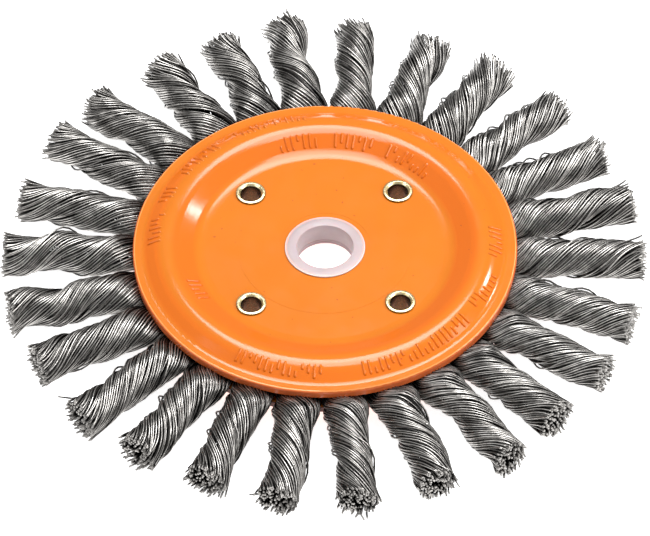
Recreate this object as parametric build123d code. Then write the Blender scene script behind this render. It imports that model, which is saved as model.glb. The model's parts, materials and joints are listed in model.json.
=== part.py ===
from build123d import *
import math
import os

# Twist-knot wire wheel for an angle grinder. Millimetres. +Z is the arbor axis, pointing out of the
# front plate. The origin is on that axis, midway between the two side plates.

# ---- arbor -------------------------------------------------------------------------------------
hole_radius = 22.225 / 2  # 7/8 inch hole through the plates, the spacers and the disc
bore_radius = 15.875 / 2  # 5/8 inch bore of the reducing bushing
bushing_clearance = 0.05
lip_overhang = 0.15
lip_height = 0.4
lip_gap = 0.1
lip_edge = 0.05  # the lip's thickness at its edge
lip_bevel = 1.3  # width of the bevel round the lip
bushing_chamfer = 0.35

# ---- side plates: heights of the outer surface above the middle plane, and the bends' radii ------
steel = 1.0
flat_height = 3.6
flat_radius = 35.5
flat_bend = 8.0
crest_radius = 44.6
crest_corner = 8.15  # height at which the two slopes would meet over the rounded crest
crest_bend = 7.5
foot_radius = 50.9  # foot of the outer slope, where the level rim starts
foot_bend = 3.0
rim_height = 4.35
rim_radius = 54.0
rim_bottom = 2.1
edge_bend = 0.65
land_height = 0.05  # the ring round the hole that a clamping flange bears on
land_inner = 13.0
land_outer = 24.5

# ---- disc and spacers ---------------------------------------------------------------------------
disc_half = 1.0
disc_radius = 46.5
spacer_radius = 33.0

# ---- knots --------------------------------------------------------------------------------------
knot_count = 26
first_knot_angle = -1.75
wheel_radius = 91.0
loop_radius = 41.5  # circle of the disc's holes
loop_hole_radius = 3.2
loop_gap = 0.1
leg_height = 3.3
leg_bevel = 0.6
leg_bevel_length = 1.5
leg_end = 48.7  # where the legs start to be pressed together
squeeze_start = 51.3
squeeze = 2.0  # half the height that the rims leave the wires
root_end = 52.6
side_gap = 0.3  # half the gap between neighbouring knots at the rims
# The neck's cross-sections: distance from the arbor axis, half width and half height.
neck_sections = [(51.9, 5.9, 1.85), (54.2, 6.1, 1.9), (58.0, 6.4, 4.2), (62.0, 6.0, 5.2), (67.0, 5.3, 5.3)]
flare_start = 83.0
flare_end = 89.0
flare = 0.7  # how much the bundle spreads at its cut tip
tip_bevel = 1.2
# How far each knot's tip leans round the wheel from its root, in degrees at the arbor, and by how
# many millimetres it stops short of the wheel's radius, from knot_01 on.
lean = [
    0, 0, -1.5, -0.5, 2, 2, 3.5, 3, 1, -0.5, 1.5, -2, 1,
    0, 1, -0.5, 1.5, 0, 0.5, 0, 0, 1.5, 1.5, -1.5, -1.5, -2.5,
]
short = [
    1, 1.5, 3.5, 3, 4, 4, 3, 1, 3, 3.5, 2, 1, 2,
    0, 0, 1, 0, 1.5, 2, 0, 0, 1, 0, 2, 1, 1,
]

# ---- rivets -------------------------------------------------------------------------------------
rivet_count = 4
rivet_circle = 29.4
rivet_bore = 2.8
rivet_tube = 3.2
rivet_flange = 4.2
rivet_hole = 3.25
flange_height = 0.6
bore_roll = 0.35  # bevel at the mouth of the rivet's bore
flange_roll = 0.5  # bevel round the flange

tall = 30.0  # longer than the stack is thick, for cutting through it


def ring(outer, inner, low, high):
    """A flat ring about the arbor axis."""
    height = high - low
    body = Cylinder(outer, height) - Cylinder(inner, height)
    return body.translate((0, 0, (low + high) / 2))


def turned(outline):
    """A closed outline of (radius, height) points turned about the arbor axis."""
    return revolve(Plane.XZ * make_face(Polyline(*outline, close=True)), Axis.Z)


def rivet_places():
    """The rivets' centres, on the diagonals."""
    return PolarLocations(rivet_circle, rivet_count, 45)


def with_rivet_holes(body):
    for place in rivet_places():
        body -= place * Cylinder(rivet_hole, tall)
    return body


def side_plate():
    """A stamped plate: the line of its outer surface, thickened inwards by the sheet and turned."""
    corners = [
        (hole_radius, flat_height),
        (flat_radius, flat_height),
        (crest_radius, crest_corner),
        (foot_radius, rim_height),
        (rim_radius, rim_height),
        (rim_radius, rim_bottom),
    ]
    bends = [flat_bend, crest_bend, foot_bend, edge_bend]
    line = FilletPolyline(*corners, radius=bends)
    sheet = make_face(offset(line, steel, side=Side.RIGHT))
    land = ring(land_outer, land_inner, flat_height - steel / 2, flat_height + land_height)
    return with_rivet_holes(revolve(Plane.XZ * sheet, Axis.Z) + land)


def hub_disc():
    """The disc that the knots hang on, with one hole for each knot's loop."""
    body = ring(disc_radius, hole_radius, -disc_half, disc_half)
    for place in PolarLocations(loop_radius, knot_count, first_knot_angle):
        body -= place * Cylinder(loop_hole_radius, tall)
    return with_rivet_holes(body)


def spacer():
    """A ring between the disc and a plate's flat centre."""
    return with_rivet_holes(ring(spacer_radius, hole_radius, disc_half, flat_height - steel))


def rivet():
    """A hollow rivet: a tube through the stack with a rolled flange at each end."""
    flange_top = flat_height + flange_height
    upper = turned([
        (rivet_bore, 0),
        (rivet_bore, flange_top - bore_roll),
        (rivet_bore + bore_roll, flange_top),
        (rivet_flange - flange_roll, flange_top),
        (rivet_flange, flange_top - flange_roll),
        (rivet_flange, flat_height),
        (rivet_tube, flat_height),
        (rivet_tube, 0),
    ])
    return upper + mirror(upper, Plane.XY)


def arbor_bushing():
    """The nylon reducing bushing, with a small lip that stops it on the front plate."""
    outer = hole_radius - bushing_clearance
    lip_radius = hole_radius + lip_overhang
    lip_low = flat_height + lip_gap
    lip_high = lip_low + lip_height
    return turned([
        (bore_radius, -flat_height + bushing_chamfer),
        (bore_radius + bushing_chamfer, -flat_height),
        (outer - bushing_chamfer, -flat_height),
        (outer, -flat_height + bushing_chamfer),
        (outer, lip_low),
        (lip_radius, lip_low),
        (lip_radius, lip_low + lip_edge),
        (lip_radius - lip_bevel, lip_high),
        (bore_radius + bushing_chamfer, lip_high),
        (bore_radius, lip_high - bushing_chamfer),
    ])


def knot_root():
    """The two legs of a knot that pass above and below the disc, and the loop through its hole."""
    half_pitch = math.pi / knot_count
    inner_end = loop_radius - loop_hole_radius
    side = [
        (inner_end, 0),
        (inner_end, leg_height - leg_bevel),
        (inner_end + leg_bevel_length, leg_height),
        (leg_end, leg_height),
        (squeeze_start, squeeze),
        (root_end, squeeze),
        (root_end, 0),
    ]
    plan = [
        (inner_end, 0),
        (inner_end, loop_hole_radius),
        (disc_radius, disc_radius * half_pitch - side_gap),
        (root_end, root_end * half_pitch - side_gap),
        (root_end, 0),
    ]
    upright = extrude(Plane.XZ * make_face(Polyline(*side, close=True)), tall, both=True)
    upright += mirror(upright, Plane.XY)
    flat = extrude(make_face(Polyline(*plan, close=True)), tall, both=True)
    flat += mirror(flat, Plane.XZ)
    slot_end = disc_radius + loop_gap
    slot = Pos(slot_end / 2, 0, 0) * Box(slot_end, tall, 2 * disc_half + loop_gap)
    loop = Pos(loop_radius, 0, 0) * Cylinder(loop_hole_radius - loop_gap, 2 * disc_half + 1)
    return (upright & flat) - slot + loop


def knot_neck():
    """Where the flattened wires draw together into the round bundle, just outside the rims."""
    rings = [Plane.YZ.offset(x) * Ellipse(width, height) for x, width, height in neck_sections[:-1]]
    last, knot_radius, _ = neck_sections[-1]
    rings.append(Plane.YZ.offset(last) * Circle(knot_radius))
    return loft(rings, ruled=True)


def knot_bundle(reach):
    """The twisted bundle, as far out as reach, as a turned solid that flares at its cut tip."""
    start, knot_radius, _ = neck_sections[-1]
    tip_radius = knot_radius + flare
    outline = [
        (start, 0),
        (start, knot_radius),
        (flare_start, knot_radius),
        (flare_end - wheel_radius + reach, tip_radius),
        (reach, tip_radius - tip_bevel),
        (reach, 0),
    ]
    return revolve(make_face(Polyline(*outline, close=True)), Axis.X)


def knot(tip_lean, reach):
    """One knot along +X. Its neck and bundle lean about the point where the rims hold them."""
    sideways = wheel_radius * math.sin(math.radians(tip_lean))
    swing = math.degrees(math.atan2(sideways, wheel_radius - rim_radius))
    rim_point = Axis((rim_radius, 0, 0), (0, 0, 1))
    return knot_root() + (knot_neck() + knot_bundle(reach)).rotate(rim_point, swing)


def write(name, body):
    solids = body.solids()
    shape = solids[0] if len(solids) == 1 else Compound(children=solids)
    shape.label = name
    export_step(shape, f"parts/{name}.step")


os.makedirs("parts", exist_ok=True)

front = side_plate()
write("front_plate", front)
write("rear_plate", mirror(front, Plane.XY))
write("hub_disc", hub_disc())
write("front_spacer", spacer())
write("rear_spacer", mirror(spacer(), Plane.XY))
write("arbor_bushing", arbor_bushing())
one_rivet = rivet()
write("hollow_rivets", Compound(children=[place * one_rivet for place in rivet_places()]))
for index in range(knot_count):
    angle = first_knot_angle + index * 360 / knot_count
    whole = knot(lean[index], wheel_radius - short[index])
    write(f"knot_{index + 1:02d}", whole.rotate(Axis.Z, angle))
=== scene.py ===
import json
import math

import bpy
import numpy as np
from mathutils import Matrix, Vector


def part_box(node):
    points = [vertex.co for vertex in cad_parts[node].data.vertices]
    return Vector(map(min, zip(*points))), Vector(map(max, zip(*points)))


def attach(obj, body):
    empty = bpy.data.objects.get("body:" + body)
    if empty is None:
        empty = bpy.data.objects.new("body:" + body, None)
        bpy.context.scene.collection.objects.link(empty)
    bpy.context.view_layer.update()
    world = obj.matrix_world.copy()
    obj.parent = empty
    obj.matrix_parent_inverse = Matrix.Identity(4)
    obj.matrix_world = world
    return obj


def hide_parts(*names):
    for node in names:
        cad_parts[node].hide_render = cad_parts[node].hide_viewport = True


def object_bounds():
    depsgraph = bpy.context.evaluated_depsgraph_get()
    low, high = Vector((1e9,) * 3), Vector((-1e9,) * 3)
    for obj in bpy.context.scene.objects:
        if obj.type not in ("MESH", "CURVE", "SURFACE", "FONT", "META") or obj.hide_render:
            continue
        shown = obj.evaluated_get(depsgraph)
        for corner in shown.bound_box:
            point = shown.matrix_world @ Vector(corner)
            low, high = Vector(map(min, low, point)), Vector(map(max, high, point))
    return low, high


# Looks for a twist-knot wire wheel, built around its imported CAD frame. Metres. +Z is the arbor
# axis, pointing out of the front plate.

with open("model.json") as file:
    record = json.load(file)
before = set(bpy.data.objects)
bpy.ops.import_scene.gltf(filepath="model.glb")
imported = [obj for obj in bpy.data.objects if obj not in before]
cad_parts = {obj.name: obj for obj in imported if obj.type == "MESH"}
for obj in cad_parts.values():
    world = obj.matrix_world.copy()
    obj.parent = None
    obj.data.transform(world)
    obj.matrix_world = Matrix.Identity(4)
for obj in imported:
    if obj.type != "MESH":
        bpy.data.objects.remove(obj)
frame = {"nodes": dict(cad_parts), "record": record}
cad_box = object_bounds()
nodes = frame["nodes"]
mounts = {m["name"]: m for m in frame["record"]["mounts"]}
knot_names = sorted(n for n in nodes if n.startswith("knot_"))

MM = 0.001
plate_low, plate_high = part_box("front_plate")
RIM = plate_high.x  # radius of the side plates
RIM_GAP = plate_low.z  # height of the turned-down edge's foot over the middle plane
DISC_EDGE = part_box("hub_disc")[1].x
BORE = mounts["arbor_bore"]["dims"]["r_mm"] * MM


# ---- meshes ------------------------------------------------------------------------------------


def make_mesh(name, points, quads, caps=None):
    """A mesh from numpy arrays: quads is (n, 4) and shaded smooth, and caps, if any, is (m, k) and
    shaded flat."""
    mesh = bpy.data.meshes.new(name)
    corners = quads.ravel()
    starts = np.arange(len(quads)) * 4
    if caps is not None:
        starts = np.concatenate([starts, len(corners) + np.arange(len(caps)) * caps.shape[1]])
        corners = np.concatenate([corners, caps.ravel()])
    mesh.vertices.add(len(points))
    mesh.vertices.foreach_set("co", np.asarray(points, np.float32).ravel())
    mesh.loops.add(len(corners))
    mesh.loops.foreach_set("vertex_index", corners.astype(np.int32))
    mesh.polygons.add(len(starts))
    mesh.polygons.foreach_set("loop_start", starts.astype(np.int32))
    mesh.polygons.foreach_set("use_smooth", np.arange(len(starts)) < len(quads))
    mesh.update(calc_edges=True)
    mesh.validate()
    return mesh


def paint_tone(mesh, tones):
    """Gives each point a tone that the materials read as how bright the metal is, painted shade
    included.
    """
    attribute = mesh.attributes.new("tone", "FLOAT", "POINT")
    attribute.data.foreach_set("value", tones.astype(np.float32))


def add_piece(name, mesh, material, body, slot, *replaced):
    """A visible piece on one body, which may stand in for CAD nodes."""
    piece = bpy.data.objects.new(name, mesh)
    bpy.context.scene.collection.objects.link(piece)
    mesh.materials.append(material)
    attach(piece, body)
    if replaced:
        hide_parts(*replaced)


def unit(v):
    """Vectors in the last axis, each scaled to a length of 1."""
    return v / np.linalg.norm(v, axis=-1, keepdims=True)


def tubes(paths, outward, radius, turn):
    """Closed tubes along paths (n, m, 3): points, side quads and end caps. Each section has one
    point for each angle in turn, measured from the outward direction there."""
    count, stations, _ = paths.shape
    sides = len(turn)
    along = unit(np.gradient(paths, axis=1))
    second = unit(np.cross(along, outward))
    first = np.cross(second, along)
    rim = first[:, :, None] * np.cos(turn)[:, None] + second[:, :, None] * np.sin(turn)[:, None]
    points = paths[:, :, None] + radius * rim
    index = np.arange(count * stations * sides).reshape(count, stations, sides)
    here, there = index[:, :-1], index[:, 1:]
    quads = np.stack([here, np.roll(here, -1, 2), np.roll(there, -1, 2), there], -1)
    caps = np.concatenate([index[:, 0, ::-1], index[:, -1]])
    return points.reshape(-1, 3), quads.reshape(-1, 4), caps


def lathe(outline, segments):
    """A closed outline of (radius, height) points turned about the Z axis: points and quads."""
    outline = np.asarray(outline, float)
    turn = np.arange(segments) * 2 * np.pi / segments
    ring = np.stack([np.cos(turn), np.sin(turn)], -1)
    points = np.empty((segments, len(outline), 3))
    points[:, :, :2] = ring[:, None] * outline[None, :, :1]
    points[:, :, 2] = outline[:, 1]
    index = np.arange(segments * len(outline)).reshape(segments, len(outline))
    after = np.roll(index, -1, 0)
    quads = np.stack([index, after, np.roll(after, -1, 1), np.roll(index, -1, 1)], -1)
    return points.reshape(-1, 3), quads.reshape(-1, 4)


def arc(centre, radius, start, end, count):
    """Points on an arc, its angles in degrees."""
    turn = np.radians(np.linspace(start, end, count))
    return [(centre[0] + radius * math.cos(a), centre[1] + radius * math.sin(a)) for a in turn]


def smooth_step(x, low, high):
    """0 at low and under, 1 at high and over, with a smooth rise between them."""
    t = np.clip((x - low) / (high - low), 0, 1)
    return t * t * (3 - 2 * t)


# ---- materials ---------------------------------------------------------------------------------

MIX_FACTOR, MIX_FIRST, MIX_SECOND, MIX_RESULT = 0, 6, 7, 2  # the Mix node's sockets for colours


class Nodes:
    """A material's node tree, with a Principled shader ready to be wired."""

    def __init__(self, name):
        self.material = bpy.data.materials.new(name)
        self.material.use_nodes = True
        self.tree = self.material.node_tree
        self.shader = self.tree.nodes["Principled BSDF"]
        self.place = self.add("ShaderNodeTexCoord").outputs["Object"]

    def add(self, kind, **settings):
        """A new node, each setting being one of its inputs or of its own properties."""
        node = self.tree.nodes.new(kind)
        for key, value in settings.items():
            if key in node.inputs:
                node.inputs[key].default_value = value
            else:
                setattr(node, key, value)
        return node

    def link(self, output, target):
        self.tree.links.new(output, target)

    def set(self, **values):
        """Fixed values on the shader, an underscore in a key standing for a space."""
        for key, value in values.items():
            self.shader.inputs[key.replace("_", " ")].default_value = value

    def drive(self, name, source):
        """Wires a source to one of the shader's inputs."""
        self.link(source, self.shader.inputs[name])

    def noise(self, scale, detail):
        node = self.add("ShaderNodeTexNoise", Scale=scale, Detail=detail)
        self.link(self.place, node.inputs["Vector"])
        return node.outputs["Fac"]

    def ramp(self, source, *stops):
        """A colour ramp: each stop is (position, colour), a colour being a grey number or three."""
        node = self.add("ShaderNodeValToRGB")
        band = node.color_ramp.elements
        while len(band) < len(stops):
            band.new(0.5)
        for element, (position, colour) in zip(band, stops):
            element.position = position
            three = colour if isinstance(colour, tuple) else (colour,) * 3
            element.color = (*three, 1)
        self.link(source, node.inputs["Fac"])
        return node.outputs["Color"]

    def band(self, source, places):
        """Black up to the first place, white from the second to the third, black from the last."""
        return self.ramp(source, *zip(places, (0.0, 1.0, 1.0, 0.0)))

    def mix(self, factor, first, second, blend="MIX"):
        """A mix of two colours. Each of the three is a socket or a value, a colour being three."""
        node = self.add("ShaderNodeMix", data_type="RGBA", blend_type=blend)
        for value, socket in ((factor, MIX_FACTOR), (first, MIX_FIRST), (second, MIX_SECOND)):
            if isinstance(value, bpy.types.NodeSocket):
                self.link(value, node.inputs[socket])
            elif isinstance(value, tuple):
                node.inputs[socket].default_value = (*value, 1)
            else:
                node.inputs[socket].default_value = value
        return node.outputs[MIX_RESULT]

    def tone(self):
        """The tone that paint_tone gave the mesh."""
        return self.add("ShaderNodeAttribute", attribute_name="tone").outputs["Fac"]

    def from_axis(self, low, high):
        """How far a point is from the arbor axis: 0 at low and under, 1 at high and over."""
        level = self.add("ShaderNodeVectorMath", operation="MULTIPLY")
        level.inputs[1].default_value = (1, 1, 0)
        self.link(self.place, level.inputs[0])
        radius = self.add("ShaderNodeVectorMath", operation="LENGTH")
        self.link(level.outputs["Vector"], radius.inputs[0])
        span = self.add("ShaderNodeMapRange")
        self.link(radius.outputs["Value"], span.inputs["Value"])
        span.inputs["From Min"].default_value = low
        span.inputs["From Max"].default_value = high
        return span.outputs["Result"]

    def front(self):
        """0 on the rear half of the wheel and 1 on the front half."""
        split = self.add("ShaderNodeSeparateXYZ")
        self.link(self.place, split.inputs["Vector"])
        half = self.add("ShaderNodeMath", operation="GREATER_THAN")
        half.inputs[1].default_value = 0
        self.link(split.outputs["Z"], half.inputs[0])
        return half.outputs["Value"]

    def bump(self, source, height):
        node = self.add("ShaderNodeBump", Strength=1.0, Distance=height)
        self.link(source, node.inputs["Height"])
        self.drive("Normal", node.outputs["Normal"])


# The bands of a plate's paint, where painted shade and a painted highlight go. The slopes are in
# shares of the rim's radius, and the last two rows are in shares of the edge's width, from its
# inner side outwards.
INNER_SLOPE = (0.66, 0.69, 0.78, 0.81)
OUTER_SLOPE = (0.85, 0.88, 0.93, 0.95)
EDGE_WIDTH = 1.0 * MM
CORNER_HIGHLIGHT = (0.3, 0.42, 0.58, 0.7)
DIRT_AND_SHADE_FROM, DIRT_AND_SHADE_FULL = 0.62, 0.76


def orange_paint():
    """Gloss enamel on pressed steel: faint mottling, orange peel and a few pinholes. Painted shade
    makes it redder on the two slopes. Its edge has a painted highlight on the corner, and below the
    corner it is darker, from dirt and painted shade on the front plate and from painted shade alone
    on the rear plate."""
    m = Nodes("orange_paint")
    m.set(Coat_Weight=0.15, Coat_Roughness=0.1, IOR=1.41)
    tint = m.ramp(m.noise(55, 4), (0.3, (0.53, 0.134, 0.002)), (0.7, (0.56, 0.145, 0.003)))
    radius = m.from_axis(0, RIM)
    # painted shade: the two slopes, lit less than the flats, are painted a redder orange
    tint = m.mix(m.band(radius, INNER_SLOPE), tint, (0.59, 0.12, 0.002))
    tint = m.mix(m.band(radius, OUTER_SLOPE), tint, (0.64, 0.134, 0.002))
    pinholes = m.ramp(m.noise(700, 1), (0.2, 1.0), (0.225, 0.0))
    tint = m.mix(pinholes, tint, (0.42, 0.075, 0.01))
    edge = m.from_axis(RIM - EDGE_WIDTH, RIM)
    # painted highlight: a light line along the rounded corner of the plate's edge
    tint = m.mix(m.band(edge, CORNER_HIGHLIGHT), tint, (0.82, 0.29, 0.08))
    # below the corner the edge is darker: dirt and painted shade on the front, painted shade only
    # on the rear
    below = m.ramp(edge, (DIRT_AND_SHADE_FROM, 0.0), (DIRT_AND_SHADE_FULL, 1.0))
    rear_shade, front_dirt_and_shade = (0.10, 0.018, 0.008), (0.60, 0.12, 0.028)
    edge_dirt_and_shade = m.mix(m.front(), rear_shade, front_dirt_and_shade)
    m.drive("Base Color", m.mix(below, tint, edge_dirt_and_shade))
    m.drive("Roughness", m.ramp(m.noise(180, 3), (0.35, 0.125), (0.7, 0.18)))
    m.bump(m.noise(1100, 2), 0.008 * MM)
    return m.material


def knot_wire():
    """Drawn steel wire: each wire has its own tone, which carries painted shade too, with dull
    patches and an uneven gloss.
    """
    m = Nodes("knot_wire")
    m.set(Metallic=1.0)
    # the tone's dark end is painted shade, between wires and deep in the bundle
    deepest_shade, mid, bright = (0.012, 0.011, 0.011), (0.30, 0.287, 0.272), (0.92, 0.89, 0.85)
    steel = m.ramp(m.tone(), (0.0, deepest_shade), (0.5, mid), (1.0, bright))
    dull = m.ramp(m.noise(420, 3), (0.35, 0.55), (0.65, 1.0))
    m.drive("Base Color", m.mix(1.0, steel, dull, "MULTIPLY"))
    m.drive("Roughness", m.ramp(m.noise(900, 2), (0.3, 0.26), (0.7, 0.38)))
    return m.material


def plain_steel():
    """Cold-rolled sheet with a faint grain."""
    m = Nodes("disc_steel")
    m.set(Metallic=1.0)
    m.drive("Base Color", m.ramp(m.noise(300, 4), (0.3, 0.30), (0.7, 0.46)))
    m.drive("Roughness", m.ramp(m.noise(90, 3), (0.3, 0.3), (0.7, 0.48)))
    m.bump(m.noise(2500, 2), 0.006 * MM)
    return m.material


def rivet_brass():
    """Pale brass plating, rubbed bright and dull in patches, and dark brown where the tone is low,
    which is painted shade.
    """
    m = Nodes("rivet_brass")
    m.set(Metallic=1.0)
    plating = m.ramp(m.noise(600, 3), (0.3, (0.56, 0.45, 0.22)), (0.7, (0.80, 0.70, 0.45)))
    # painted shade: dark brown where the tone is low, in the bore and round the flange
    m.drive("Base Color", m.mix(m.tone(), (0.10, 0.055, 0.028), plating))
    m.drive("Roughness", m.ramp(m.noise(1400, 2), (0.3, 0.18), (0.7, 0.38)))
    m.bump(m.noise(2200, 2), 0.01 * MM)
    return m.material


# The rings of colour at the edge of the bushing's lip, in shares of the edge's width; the outermost
# is a painted highlight.
LIP_EDGE = 0.8 * MM
SHOWING_THROUGH = (0.2, 0.36, 0.5, 0.62)
LIP_HIGHLIGHT_FROM, LIP_HIGHLIGHT_FULL = 0.6, 0.74


def bushing_nylon():
    """Natural nylon: milky, lets some light into itself, with faint moulding flow. The lip's edge
    has a painted highlight, and orange from the paint shows through just inside it."""
    m = Nodes("bushing_nylon")
    m.set(Subsurface_Weight=0.35, Subsurface_Scale=2 * MM, IOR=1.53)
    tint = m.ramp(m.noise(160, 3), (0.3, (0.37, 0.29, 0.30)), (0.7, (0.42, 0.335, 0.345)))
    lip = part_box("arbor_bushing")[1].x
    edge = m.from_axis(lip - LIP_EDGE, lip)
    tint = m.mix(m.band(edge, SHOWING_THROUGH), tint, (0.74, 0.34, 0.27))
    # painted highlight: a pale ring along the lip's rounded edge
    lip_highlight = m.ramp(edge, (LIP_HIGHLIGHT_FROM, 0.0), (LIP_HIGHLIGHT_FULL, 1.0))
    tint = m.mix(lip_highlight, tint, (0.62, 0.52, 0.52))
    m.drive("Base Color", tint)
    m.drive("Roughness", m.ramp(m.noise(500, 2), (0.3, 0.3), (0.7, 0.42)))
    m.bump(m.noise(1300, 2), 0.008 * MM)
    return m.material


def pale_floor():
    """Matt white that gives off light of its own, so that shadows on it stay faint."""
    m = Nodes("pale_floor")
    m.drive("Base Color", m.ramp(m.noise(2, 2), (0.3, 0.94), (0.7, 0.95)))
    m.set(Roughness=0.9, Emission_Color=(1, 1, 1, 1), Emission_Strength=0.85)
    return m.material


PAINT, KNOT_STEEL, STEEL = orange_paint(), knot_wire(), plain_steel()
BRASS, NYLON = rivet_brass(), bushing_nylon()


# ---- the twisted knots -------------------------------------------------------------------------

WIRE = 0.275 * MM  # radius of one wire
WIRE_SIDES = 6
# The wires' layers, each a share of the bundle's radius and a count. The core is seen only at the
# cut tip, so its wires are short.
LAYERS = [(1.0, 37), (0.885, 33), (0.77, 28)]
CORE_LAYERS = [(0.655, 24), (0.53, 18), (0.40, 12), (0.26, 7), (0.1, 2)]
ROOT_START = -4.5 * MM  # where the wires start, under the rims
CORE_REACH = 9 * MM  # length of the core's wires
TIP_REACH = 7 * MM  # the length over which the cut end frays
OVERRUN = 0.3 * MM  # how far the bundle runs past the end of its CAD solid
BODY_STATIONS, CORE_STATIONS, TIP_STATIONS = 22, 3, 8  # points along a wire
TWIST_START, TWIST_FULL = -3 * MM, 2.5 * MM  # where the twist sets in and is full
SWAY_WAVES = (31 * MM, 19 * MM)  # wavelengths of the bundle's wandering
DRIFT_WAVES = (26 * MM, 13 * MM)  # wavelengths of a wire's wandering in the bundle
ASTRAY_SHARE = 0.05  # share of the cut ends that are bent well out of line
LOOSE_WIRES = 8  # outer wires of a knot that stand off the bundle
TONE, TONE_SPREAD = 0.86, 0.2  # the tone of the outer wires, and how much it varies
# painted shade between the wires: deeper wires, and each wire's side away from the outside, are
# darker
DEPTH_SHADE = 2.2  # how much darker wires get with their depth in the bundle
SIDE_SHADE_POWER = 6  # how sharply a wire darkens away from its outer side
BARE_TONE = 0.55  # the tone of the bright cut ends


def knot_axis(name):
    """The CAD knot's place: the unit vector out through its root, and its tip, both level."""
    points = np.array([v.co for v in nodes[name].data.vertices])
    radius = np.hypot(points[:, 0], points[:, 1])
    root = unit(points[radius < DISC_EDGE][:, :2].mean(0))
    tip = points[radius > radius.max() - 2 * MM][:, :2].mean(0)
    return root, tip


class Knot:
    """One knot in its own frame: x runs out from the rims along the bundle, z up. Its shape is
    drawn from a seeded generator of its own, so no two knots are alike."""

    def __init__(self, seed, length):
        rng = np.random.default_rng(seed)
        self.rng = rng
        self.length = length
        self.tip_start = length - TIP_REACH
        self.radius = rng.uniform(4.8, 5.2) * MM
        self.turn = 2 * np.pi / (rng.uniform(35, 42) * MM)  # radians along the axis, left-handed
        self.seam = rng.normal(0, 0.25)  # angle of the seam between the two legs
        self.groove = rng.uniform(0.12, 0.2)  # the seam's depth, as a share of the radius
        # the angles and depths of six finer grooves
        self.strands = np.stack([rng.uniform(0, 2 * np.pi, 6), rng.uniform(0.03, 0.1, 6)], -1)
        self.flare = rng.uniform(0.05, 0.17)  # how much wider the cut end is, as a share
        # the centre line's wandering, sideways and upright, for each wavelength
        self.sway = rng.normal(0, 0.45, (2, 2)) * MM
        self.phase = rng.uniform(0, 2 * np.pi, (2, 2))

    def into_tip(self, x, most):
        """How far into the frayed end x is: 0 where it starts, 1 at its end, and at most this."""
        return np.clip((x - self.tip_start) / TIP_REACH, 0, most)

    def wound(self, x):
        """How far the section has turned at x. The twist sets in just outside the rims, and
        slackens in the frayed end."""
        span = TWIST_FULL - TWIST_START
        t = np.clip((x - TWIST_START) / span, 0, 1)
        ramp = span * (t**3 - t**4 / 2)  # its rate is a smooth step
        body = np.clip(x - TWIST_FULL, 0, None)
        loose = np.clip(x - self.tip_start, 0, None)
        return self.turn * (ramp + body - 0.3 * loose**2 / TIP_REACH)

    def half_width(self, x):
        """Neighbouring knots touch at the rims, and draw in to the round bundle farther out."""
        touching = (RIM + x) * math.pi / len(knot_names) - WIRE
        return touching + (self.radius - touching) * smooth_step(x, 1.5 * MM, 9 * MM)

    def half_height(self, x):
        """The rims press the wires flat."""
        flat = RIM_GAP - WIRE * 1.15
        return flat + (self.radius - flat) * smooth_step(x, -1.5 * MM, 6.5 * MM)

    def centre(self, x):
        """The bundle's centre line wanders a little once it is clear of the rims."""
        free = smooth_step(x, 2 * MM, 0.6 * self.length)
        y = np.zeros_like(x)
        z = np.zeros_like(x)
        for i, wave in enumerate(SWAY_WAVES):
            y += self.sway[0, i] * np.sin(2 * np.pi * x / wave + self.phase[0, i])
            z += 0.5 * self.sway[1, i] * np.sin(2 * np.pi * x / wave + self.phase[1, i])
        return y * free, z * free

    def lobes(self, angle):
        """Two legs laid together: full on each leg, drawn in along the seams between them."""
        from_seam = np.sin(angle - self.seam)
        shape = 1 + 0.07 * np.abs(from_seam) - self.groove * np.exp(-((from_seam / 0.3) ** 2))
        for middle, depth in self.strands:
            shape = shape - depth * np.exp((np.cos(angle - middle) - 1) / 0.02)
        return shape

    def place(self, x, share, angle):
        """The point at x of the wire that lies at this share of the radius and this angle."""
        radial = share * self.lobes(angle) * (1 + self.flare * self.into_tip(x, 1.2) ** 2)
        now = angle - self.wound(x)
        y0, z0 = self.centre(x)
        y = y0 + self.half_width(x) * radial * np.cos(now)
        z = z0 + self.half_height(x) * radial * np.sin(now)
        return np.stack([x, y, z], -1)


def spread_wires(knot, layers):
    """Each wire's share of the radius and its angle, evenly laid but for a little disorder, which
    is about an eighth of the spacing."""
    shares, angles = [], []
    for share, count in layers:
        even = np.arange(count) * 2 * np.pi / count + knot.rng.uniform(0, 2 * np.pi)
        angles.append(even + knot.rng.normal(0, 0.25 / count * np.pi, count))
        shares.append(share + knot.rng.normal(0, 0.014, count))
    return np.concatenate(shares), np.concatenate(angles)


def wander(rng, x, size, wave):
    """A slow wave along each wire, of its own height and phase."""
    height = rng.normal(0, size, (len(x), 1))
    phase = rng.uniform(0, 6.3, (len(x), 1))
    return height * np.sin(2 * np.pi * x / wave + phase)


def wire_paths(knot, shares, angles, start, stations):
    """The wires' centre lines from start to their cut ends, frayed over the last millimetres."""
    rng, count = knot.rng, len(shares)
    ends = knot.length + rng.normal(-0.3, 0.45, count) * MM
    body = np.linspace(start, knot.tip_start, stations)[None].repeat(count, 0)
    fray = np.linspace(0, 1, TIP_STATIONS)[1:]
    tip = body[:, -1:] + (ends[:, None] - body[:, -1:]) * fray
    x = np.concatenate([body, tip], 1)
    drift = np.zeros_like(x)
    lift = np.zeros_like(x)
    for wave in DRIFT_WAVES:
        drift += wander(rng, x, 0.012, wave)
        lift += wander(rng, x, 0.010, wave)
    paths = knot.place(x, shares[:, None] + lift, angles[:, None] + drift)
    spread = rng.normal(0, 0.42, (count, 2)) * MM
    astray = rng.random(count) < ASTRAY_SHARE
    spread[astray] *= rng.uniform(2.0, 4.0, (astray.sum(), 1))
    paths[:, :, 1:] += knot.into_tip(x, 1.3)[:, :, None] ** 2 * spread[:, None]
    return paths


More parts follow.
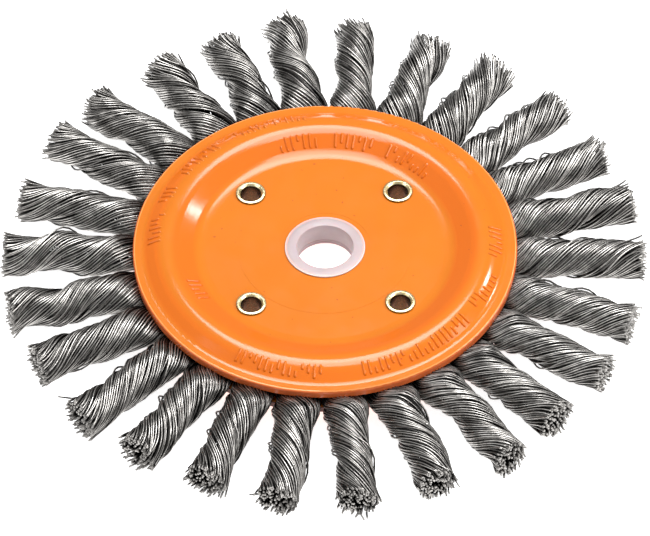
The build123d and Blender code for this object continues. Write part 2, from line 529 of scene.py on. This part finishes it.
def spring_loose(knot, paths, outer):
    """Lets a few of the first paths, which are the outer wires, stand off the bundle over part of
    their length."""
    x = paths[0, :, 0]
    for i in knot.rng.choice(outer, LOOSE_WIRES, replace=False):
        middle = knot.rng.uniform(8, 26) * MM
        reach = knot.rng.uniform(5, 9) * MM
        height = knot.rng.uniform(0.3, 1.2) * MM
        bulge = np.clip(1 - ((x - middle) / reach) ** 2, 0, 1) ** 2
        y0, z0 = knot.centre(x)
        out = unit(paths[i, :, 1:] - np.stack([y0, z0], -1))
        paths[i, :, 1:] += out * (height * bulge)[:, None]
    return paths


def join_parts(parts):
    """Several (points, quads, caps, tones) into one set of arrays."""
    points, quads, caps, tones, offset = [], [], [], [], 0
    for p, q, c, t in parts:
        points.append(p)
        quads.append(q + offset)
        caps.append(c + offset)
        tones.append(t)
        offset += len(p)
    return [np.concatenate(arrays) for arrays in (points, quads, caps, tones)]


def wire_tones(knot, lines, shares, turn):
    """Each wire has a tone of its own, with painted shade that darkens it deep in the bundle and
    away from its outer side, and is bare where it is cut.
    """
    # painted shade: darker deeper in the bundle and round each wire away from its outer side
    tone = knot.rng.normal(TONE, TONE_SPREAD, len(lines)) - DEPTH_SHADE * (1 - shares)
    painted_side_light = (0.5 + 0.5 * np.cos(turn)) ** SIDE_SHADE_POWER
    bare = smooth_step(lines[:, :, 0], knot.length - 1.5 * MM, knot.length - 0.3 * MM)
    tone = tone[:, None, None] * painted_side_light * (1 - bare[:, :, None]) + BARE_TONE * bare[:, :, None]
    return np.clip(tone, 0.02, 1).ravel()


def make_knot(seed, name):
    """One knot's wires, in place of its CAD solid."""
    root, tip = knot_axis(name)
    start = root * RIM
    out = unit(tip - start)
    knot = Knot(seed, float(np.linalg.norm(tip - start)) + OVERRUN)
    body_shares, angles = spread_wires(knot, LAYERS)
    body = wire_paths(knot, body_shares, angles, ROOT_START, BODY_STATIONS)
    body = spring_loose(knot, body, LAYERS[0][1])
    core_shares, angles = spread_wires(knot, CORE_LAYERS)
    core = wire_paths(knot, core_shares, angles, knot.length - CORE_REACH, CORE_STATIONS)
    turn = np.arange(WIRE_SIDES) * 2 * np.pi / WIRE_SIDES
    parts = []
    for lines, shares in ((body, body_shares), (core, core_shares)):
        # none goes through the floor
        lines[:, :, 2] = np.maximum(lines[:, :, 2], cad_box[0].z + WIRE)
        y0, z0 = knot.centre(lines[:, :, 0])
        outward = lines - np.stack([lines[:, :, 0], y0, z0], -1)
        parts.append((*tubes(lines, outward, WIRE, turn), wire_tones(knot, lines, shares, turn)))
    points, quads, caps, tones = join_parts(parts)
    # from the knot's own frame to the wheel's
    side = np.array([-out[1], out[0]])
    placed = np.empty_like(points)
    placed[:, :2] = start + points[:, :1] * out + points[:, 1:2] * side
    placed[:, 2] = points[:, 2]
    mesh = make_mesh(name + "_wires", placed, quads, caps)
    paint_tone(mesh, tones)
    add_piece(name + "_wires", mesh, KNOT_STEEL, "wheel", "knot_wire", name)


for seed, name in enumerate(knot_names):
    make_knot(seed, name)


# ---- rivets and bushing ------------------------------------------------------------------------

RIVET_BORE = 2.8 * MM
LAND = 0.05 * MM  # height of the clamping face over the plate's flat centre
LIP_STEP = 0.2 * MM  # how far the bushing's lip stands out from its shank
LIP_HEIGHT = 0.4 * MM
GROOVES = (1.7 * MM, 1.0 * MM)  # heights of the bore's two fine grooves over its rear end
GROOVE_DEPTH = 0.16 * MM


def rivet_centres():
    """The middle of each rivet's solid, one in each quadrant."""
    points = np.array([v.co for v in nodes["hollow_rivets"].data.vertices])
    found = []
    for sx, sy in ((1, 1), (-1, 1), (-1, -1), (1, -1)):
        mine = points[(points[:, 0] * sx > 0) & (points[:, 1] * sy > 0)]
        found.append((mine.min(0) + mine.max(0)) / 2)
    return found


def rivet_outline(bore, flange, face, top):
    """Half section of a hollow rivet: the bore rolls over into a rounded flange at each end."""
    flare, lip = 0.7 * MM, 0.32 * MM  # radii of the bore's mouth and of the flange's edges
    wall = 0.4 * MM
    upper = [(bore, 0.0), (bore, face - 0.9 * MM)]
    upper += arc((bore + flare, face - 0.3 * MM), flare, 180, 120, 6)
    upper += arc((bore + 0.75 * MM, top - lip), lip, 120, 70, 6)
    upper += arc((flange - lip, top - lip), lip, 70, -20, 8)
    upper += [(flange - 0.1 * MM, face), (bore + wall, face), (bore + wall, 0.0)]
    lower = [(r, -z) for r, z in reversed(upper[1:-1])]
    return upper + lower


def make_rivets():
    """The four rivets, as one piece. Their tone puts painted shade in the bore and a painted
    contact shadow round the flange's edge.
    """
    _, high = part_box("hollow_rivets")
    centres = rivet_centres()
    flange = high.x - centres[0][0]
    face = mounts["front_clamp_face"]["pos_m"][2] - LAND
    points, quads = lathe(rivet_outline(RIVET_BORE, flange, face, high.z), segments=72)
    quads = quads[:, ::-1]  # this outline runs clockwise
    every = np.concatenate([points + c for c in centres])
    faces = np.concatenate([quads + i * len(points) for i in range(len(centres))])
    mesh = make_mesh("rivet_eyelets", every, faces)
    from_axis = np.hypot(points[:, 0], points[:, 1])
    # painted shade: the tone drops in the bore and in a thin ring round the flange's outer edge
    bright = smooth_step(from_axis, RIVET_BORE, RIVET_BORE + 0.2 * MM)
    bright -= 0.85 * smooth_step(from_axis, flange - 0.2 * MM, flange - 0.02 * MM)
    paint_tone(mesh, np.tile(bright, len(centres)))
    add_piece("rivet_eyelets", mesh, BRASS, "wheel", "rivet_brass", "hollow_rivets")


def make_bushing():
    """The reducing bushing, its lip bevelled and its edges rounded as moulded nylon is."""
    low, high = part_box("arbor_bushing")
    lip, shank = high.x, high.x - LIP_STEP
    under = high.z - LIP_HEIGHT
    foot, edge, top = 0.3 * MM, 0.18 * MM, 0.2 * MM  # radii: rear end, lip's edge, front face
    outline = arc((BORE + foot, low.z + foot), foot, 180, 270, 5)
    outline += arc((shank - foot, low.z + foot), foot, 270, 360, 5)
    outline += [(shank, under), (lip, under)]
    outline += arc((lip - edge, under + edge), edge, 0, 90, 6)
    outline += arc((lip - 1.2 * MM, high.z - top), top, 60, 90, 3)
    outline += arc((BORE + top, high.z - top), top, 90, 180, 6)
    for height in GROOVES:
        for deep, up in ((0, 1), (1, 0.5), (1, -0.5), (0, -1)):
            outline.append((BORE + deep * GROOVE_DEPTH, low.z + height + up * GROOVE_DEPTH))
    points, quads = lathe(outline, segments=160)
    mesh = make_mesh("nylon_bushing", points, quads)
    add_piece("nylon_bushing", mesh, NYLON, "bushing", "bushing_nylon", "arbor_bushing")


make_rivets()
make_bushing()


# ---- pressed marks on the front plate ----------------------------------------------------------

TICK_WIDTH = 1.0 * MM
TICK_HEIGHT = 0.42 * MM
TICK_SINK = 0.12 * MM  # how far a tick's rim lies under the surface
TICK_PITCH = 1.7 * MM
TICK_ACROSS, TICK_ALONG = 7, 13  # points over a tick's width and length
TICK_SEED = 3
TICK_PARTS = [1.0, 1.0, 0.7, 0.5]  # the choice of lengths, as shares of the longest
CLEAR = 0.05  # a height well above the plate
# Groups of plain ticks, long and short at random: the long ticks' middle radius and length in
# millimetres, and the angles in degrees between which each group runs.
TICK_GROUPS = [
    (39.3, 4.3, [(108, 92), (85, 69), (62, 41), (200, 212)]),
    (47.9, 4.0, [(179, 166), (160, 152), (146, 128), (121, 96), (5, -9), (-16, -31), (-37, -79),
                 (-92, -122)]),
]


def on_plate(radius, angle):
    """The front plate's outer surface at this radius and angle, and its normal there."""
    way = np.array([math.cos(angle), math.sin(angle), 0.0])
    above = Vector(way * radius + [0, 0, CLEAR])
    _, place, normal, _ = nodes["front_plate"].ray_cast(above, (0, 0, -1))
    return np.array(place), np.array(normal)


def tick(radius, angle, length):
    """One raised stroke, laid along the radius: a rounded ridge whose rim is under the surface."""
    across = np.linspace(-1, 1, TICK_ACROSS) * TICK_WIDTH / 2
    along = np.linspace(-1, 1, TICK_ALONG) * length / 2
    top, bottom = [], []
    for a in along:
        for b in across:
            place, normal = on_plate(radius + a, angle + b / radius)
            past_end = max(abs(a) - (length - TICK_WIDTH) / 2, 0)
            inside = 1 - (math.hypot(b, past_end) / (TICK_WIDTH / 2)) ** 2
            height = max(inside, 0) * (TICK_HEIGHT + TICK_SINK) - TICK_SINK
            top.append(place + normal * height)
            bottom.append(place - normal * 2 * TICK_SINK)
    index = np.arange(len(top)).reshape(len(along), len(across))
    upper = np.stack([index[:-1, :-1], index[1:, :-1], index[1:, 1:], index[:-1, 1:]], -1)
    upper = upper.reshape(-1, 4)
    lower = upper[:, ::-1] + len(top)
    edge = np.concatenate([index[0, :], index[1:, -1], index[-1, -2::-1], index[-2:0:-1, 0]])
    after = np.roll(edge, -1)
    side = np.stack([edge, after, after + len(top), edge + len(top)], -1)
    return np.array(top + bottom), np.concatenate([upper, lower, side])


def make_ticks():
    """All the ticks, as one piece."""
    rng = np.random.default_rng(TICK_SEED)
    points, quads, offset = [], [], 0
    for middle, length, spans in TICK_GROUPS:
        step = TICK_PITCH / (middle * MM)
        for start, end in spans:
            count = int(abs(math.radians(end - start)) / step) + 1
            for i in range(count):
                angle = math.radians(start) + math.copysign(i * step, end - start)
                part = rng.choice(TICK_PARTS)
                shift = rng.choice([-0.5, 0.5]) * (1 - part) * length
                p, q = tick((middle + shift) * MM, angle, part * length * MM)
                points.append(p)
                quads.append(q + offset)
                offset += len(p)
    mesh = make_mesh("pressed_ticks", np.concatenate(points), np.concatenate(quads))
    add_piece("pressed_ticks", mesh, PAINT, "wheel", "orange_paint")


make_ticks()


# ---- plates and disc ---------------------------------------------------------------------------


def carry_over(material, slot, *names):
    """CAD nodes that keep their shape and get a finished material."""
    for name in names:
        nodes[name].data.materials.clear()
        nodes[name].data.materials.append(material)


carry_over(PAINT, "orange_paint", "front_plate", "rear_plate")
carry_over(STEEL, "disc_steel", "hub_disc", "front_spacer", "rear_spacer")


# ---- floor, light and camera -------------------------------------------------------------------

SKY = [(0.0, 0.28), (0.9, 0.74)]  # height over the horizon, 1 being the zenith, and the grey there
FLOOR_SIZE = 6
# The studio's soft panels, all facing the wheel: name, place, width and length, watts.
LIGHTS = [
    ("rear_bank", (0.03, 0.37, 1.14), (0.65, 0.72), 10.5),
    ("rear_core", (0.03, 0.52, 1.08), (0.70, 0.34), 2.5),
    ("right_lamp", (0.775, 0.52, 0.753), (0.12, 0.12), 2.3),
    ("right_fill", (1.1, -0.3, 0.7), (0.8, 0.8), 12),
    ("left_fill", (-1.1, -0.5, 0.9), (0.8, 0.8), 3.6),
]
# The camera looks down at the wheel from its -Y side.
ELEVATION = math.radians(48.5)
BACK = Vector((0, -math.cos(ELEVATION), math.sin(ELEVATION)))  # from the wheel to the camera
UP = Vector((0, math.sin(ELEVATION), math.cos(ELEVATION)))
ROLL = math.radians(-0.78)
AIM = Vector((-0.00008, 0, 0)) - 0.0033 * UP  # the point in the middle of the picture
DISTANCE = 1.9
LENS, SENSOR = 374.3, 36  # focal length and sensor width, both in millimetres


def make_floor():
    bpy.ops.mesh.primitive_plane_add(size=FLOOR_SIZE, location=(0, 0, cad_box[0].z))
    floor = bpy.context.object
    floor.name = "floor"
    floor.data.materials.append(pale_floor())


def soft_light(name, place, size, power):
    data = bpy.data.lights.new(name, "AREA")
    data.shape = "RECTANGLE"
    data.size, data.size_y = size
    data.energy = power
    lamp = bpy.data.objects.new(name, data)
    bpy.context.scene.collection.objects.link(lamp)
    lamp.location = place
    lamp.rotation_mode = "QUATERNION"
    lamp.rotation_quaternion = Vector(place).to_track_quat("Z", "Y")


def make_camera():
    data = bpy.data.cameras.new("camera")
    data.lens = LENS
    data.sensor_width = SENSOR
    data.clip_start, data.clip_end = 0.05, 50
    camera = bpy.data.objects.new("camera", data)
    bpy.context.scene.collection.objects.link(camera)
    turned = Matrix.Rotation(ROLL, 3, BACK)
    axes = Matrix((turned @ Vector((1, 0, 0)), turned @ UP, BACK)).transposed()
    camera.matrix_world = Matrix.Translation(AIM + BACK * DISTANCE) @ axes.to_4x4()
    bpy.context.scene.camera = camera


def make_world():
    """A grey sky that gets lighter with height."""
    world = bpy.data.worlds.new("studio")
    world.use_nodes = True
    tree = world.node_tree
    sky = tree.nodes.new("ShaderNodeValToRGB")
    for element, (height, grey) in zip(sky.color_ramp.elements, SKY):
        element.position = height
        element.color = (grey, grey, grey, 1)
    split = tree.nodes.new("ShaderNodeSeparateXYZ")
    place = tree.nodes.new("ShaderNodeTexCoord")
    tree.links.new(place.outputs["Generated"], split.inputs["Vector"])
    tree.links.new(split.outputs["Z"], sky.inputs["Fac"])
    tree.links.new(sky.outputs["Color"], tree.nodes["Background"].inputs["Color"])
    bpy.context.scene.world = world


make_floor()
make_world()
for light in LIGHTS:
    soft_light(*light)
make_camera()
bpy.context.scene.view_settings.view_transform = "Standard"
